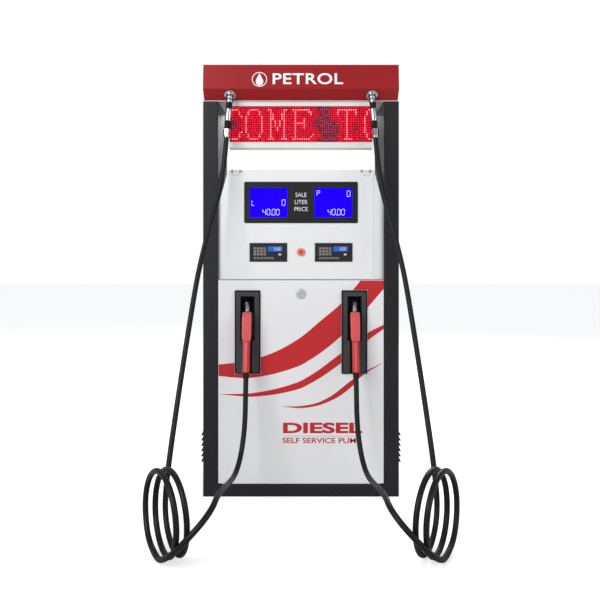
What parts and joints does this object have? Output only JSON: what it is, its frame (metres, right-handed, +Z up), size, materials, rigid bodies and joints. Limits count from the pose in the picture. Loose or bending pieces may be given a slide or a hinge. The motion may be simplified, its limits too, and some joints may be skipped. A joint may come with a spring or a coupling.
{
  "type": "fuel dispenser",
  "caption": "Upright two-nozzle fuel dispenser with a canopy sign, a display head, lower doors, nozzle boots and two coiled delivery hoses.",
  "frame": {"origin": "centre of the anchor bolt pattern, on the ground", "axes": "+Z up, -Y to the front where the displays and nozzles are, +X to the right"},
  "size_m": [1.3758, 1.4787, 2.152],
  "materials": {
    "red_paint": "gloss coat",
    "black_paint": "fine satin texture",
    "white_paint": "satin powder coat",
    "grey_paint": "satin",
    "zinc_sheet": "zinc plated",
    "black_plastic": "moulded",
    "circuit_board": "board",
    "tinted_sheet": "clear tinted acrylic",
    "clear_sheet": "clear",
    "display_blue": "lit display",
    "keypad_black": "sealed keypad",
    "button_red": "glossy",
    "lock_metal": "satin nickel",
    "boot_plastic": "moulded boot",
    "nozzle_aluminium": "cast",
    "nozzle_red": "moulded vinyl",
    "spout_metal": "drawn tube",
    "chrome_metal": "polished",
    "hose_rubber": "smooth rubber",
    "cast_grey": "painted casting",
    "motor_blue": "enamel",
    "pulley_metal": "machined",
    "belt_rubber": "v-belt",
    "meter_metal": "die cast",
    "brass_metal": "machined",
    "pipe_steel": "drawn",
    "box_grey": "hammered"
  },
  "bodies": {
    "root": {"base_frame": "black_paint", "left_side_casing": "black_paint", "right_side_casing": "black_paint", "header_shell": "red_paint", "header_floor": "grey_paint", "sign_housing": "grey_paint", "sign_board": "circuit_board", "sign_window": "tinted_sheet", "head_housing": "white_paint", "rear_upper_panel": "white_paint", "mid_shelf": "zinc_sheet", "cover_hinge_pins": "zinc_sheet", "pump_unit": "cast_grey", "motor": "motor_blue", "drive_belt": "belt_rubber", "solenoid_valves": "brass_metal", "pipework": "pipe_steel", "control_box": "box_grey", "junction_box": "box_grey", "left_boot": "boot_plastic", "left_outlet_elbow": "chrome_metal", "left_hose_drop": "hose_rubber", "left_hose_coil": "hose_rubber", "left_hose_rise": "hose_rubber", "left_meter": "meter_metal", "right_boot": "boot_plastic", "right_outlet_elbow": "chrome_metal", "right_hose_drop": "hose_rubber", "right_hose_coil": "hose_rubber", "right_hose_rise": "hose_rubber", "right_meter": "meter_metal"},
    "display_door": {"display_cover": "white_paint", "display_bezel": "black_plastic", "display_window": "clear_sheet", "lcd_modules": "display_blue", "keypads": "keypad_black"},
    "stop_button": {"stop_button": "button_red"},
    "front_panel": {"front_panel": "white_paint"},
    "front_lock": {"front_lock": "lock_metal"},
    "rear_door": {"rear_door": "white_paint"},
    "rear_lock": {"rear_lock": "lock_metal"},
    "pump_pulley": {"pump_pulley": "pulley_metal"},
    "motor_pulley": {"motor_pulley": "pulley_metal"},
    "left_nozzle": {"left_nozzle_body": "nozzle_aluminium", "left_nozzle_cover": "nozzle_red", "left_spout": "spout_metal"},
    "left_lever": {"left_lever": "nozzle_aluminium"},
    "left_nozzle_swivel": {"left_nozzle_swivel": "chrome_metal"},
    "left_boot_flap": {"left_boot_flap": "boot_plastic"},
    "left_breakaway": {"left_breakaway": "chrome_metal"},
    "left_pulser_disc": {"left_pulser_disc": "brass_metal"},
    "right_nozzle": {"right_nozzle_body": "nozzle_aluminium", "right_nozzle_cover": "nozzle_red", "right_spout": "spout_metal"},
    "right_lever": {"right_lever": "nozzle_aluminium"},
    "right_nozzle_swivel": {"right_nozzle_swivel": "chrome_metal"},
    "right_boot_flap": {"right_boot_flap": "boot_plastic"},
    "right_breakaway": {"right_breakaway": "chrome_metal"},
    "right_pulser_disc": {"right_pulser_disc": "brass_metal"}
  },
  "joints": [
    {"name": "display_door_hinge", "type": "hinge", "parent": "root", "child": "display_door", "pos_m": [0, -0.254, 1.6275], "axis": [-1, 0, 0], "range_deg": [0, 75]},
    {"name": "stop_button_press", "type": "slide", "parent": "display_door", "child": "stop_button", "axis": [0, 1, 0], "range_m": [0, 0.004], "stiffness_N_per_m": 600, "springref_m": -0.003},
    {"name": "front_panel_tilt", "type": "hinge", "parent": "root", "child": "front_panel", "pos_m": [0, -0.25, 0.0655], "axis": [1, 0, 0], "range_deg": [0, 4.5]},
    {"name": "front_lock_turn", "type": "hinge", "parent": "front_panel", "child": "front_lock", "pos_m": [0, -0.25, 1.014], "axis": [0, 1, 0], "range_deg": [0, 90]},
    {"name": "rear_door_hinge", "type": "hinge", "parent": "root", "child": "rear_door", "pos_m": [-0.411, 0.252, 0.5], "axis": [0, 0, 1], "range_deg": [0, 110]},
    {"name": "rear_lock_turn", "type": "hinge", "parent": "rear_door", "child": "rear_lock", "pos_m": [0, 0.25, 1.014], "axis": [0, 1, 0], "range_deg": [0, 90]},
    {"name": "pump_pulley_spin", "type": "hinge", "parent": "root", "child": "pump_pulley", "pos_m": [-0.19, 0, 0.2], "axis": [0, 1, 0], "continuous": true},
    {"name": "motor_pulley_spin", "type": "hinge", "parent": "root", "child": "motor_pulley", "pos_m": [0.11, 0, 0.16], "axis": [0, 1, 0], "continuous": true},
    {"name": "left_nozzle_lift", "type": "slide", "parent": "root", "child": "left_nozzle", "axis": [0, -1, 0], "range_m": [0, 0.28], "deforming": ["left_hose_rise"]},
    {"name": "left_lever_squeeze", "type": "hinge", "parent": "left_nozzle", "child": "left_lever", "pos_m": [-0.267, -0.262, 0.872], "axis": [-1, 0, 0], "range_deg": [0, 16], "stiffness_Nm_per_rad": 2, "springref_deg": -8.59},
    {"name": "left_nozzle_swivel_turn", "type": "hinge", "parent": "left_nozzle", "child": "left_nozzle_swivel", "pos_m": [-0.267, -0.366, 0.64], "axis": [0, 0.3048, 0.9524], "continuous": true},
    {"name": "left_flap_swing", "type": "hinge", "parent": "root", "child": "left_boot_flap", "pos_m": [-0.267, -0.184, 0.8], "axis": [1, 0, 0], "range_deg": [0, 26]},
    {"name": "left_breakaway_turn", "type": "hinge", "parent": "root", "child": "left_breakaway", "pos_m": [-0.352, -0.2923, 1.98872], "axis": [-0.0715, -0.0992, -0.9925], "continuous": true},
    {"name": "left_pulser_spin", "type": "hinge", "parent": "root", "child": "left_pulser_disc", "pos_m": [-0.23, 0.06, 0.67], "axis": [0, 0, 1], "continuous": true},
    {"name": "right_nozzle_lift", "type": "slide", "parent": "root", "child": "right_nozzle", "axis": [0, -1, 0], "range_m": [0, 0.28], "deforming": ["right_hose_rise"]},
    {"name": "right_lever_squeeze", "type": "hinge", "parent": "right_nozzle", "child": "right_lever", "pos_m": [0.267, -0.262, 0.872], "axis": [-1, 0, 0], "range_deg": [0, 16], "stiffness_Nm_per_rad": 2, "springref_deg": -8.59},
    {"name": "right_nozzle_swivel_turn", "type": "hinge", "parent": "right_nozzle", "child": "right_nozzle_swivel", "pos_m": [0.267, -0.366, 0.64], "axis": [0, 0.3048, 0.9524], "continuous": true},
    {"name": "right_flap_swing", "type": "hinge", "parent": "root", "child": "right_boot_flap", "pos_m": [0.267, -0.184, 0.8], "axis": [1, 0, 0], "range_deg": [0, 26]},
    {"name": "right_breakaway_turn", "type": "hinge", "parent": "root", "child": "right_breakaway", "pos_m": [0.352, -0.2923, 1.98872], "axis": [0.0715, -0.0992, -0.9925], "continuous": true},
    {"name": "right_pulser_spin", "type": "hinge", "parent": "root", "child": "right_pulser_disc", "pos_m": [0.23, 0.06, 0.67], "axis": [0, 0, 1], "continuous": true}
  ],
  "couplings": [
    {"joint": "motor_pulley_spin", "follows": "pump_pulley_spin", "ratio": 2.2105},
    {"joint": "left_flap_swing", "follows": "left_nozzle_lift", "rad_per_m": 1.5583},
    {"joint": "right_flap_swing", "follows": "right_nozzle_lift", "rad_per_m": 1.5583}
  ]
}
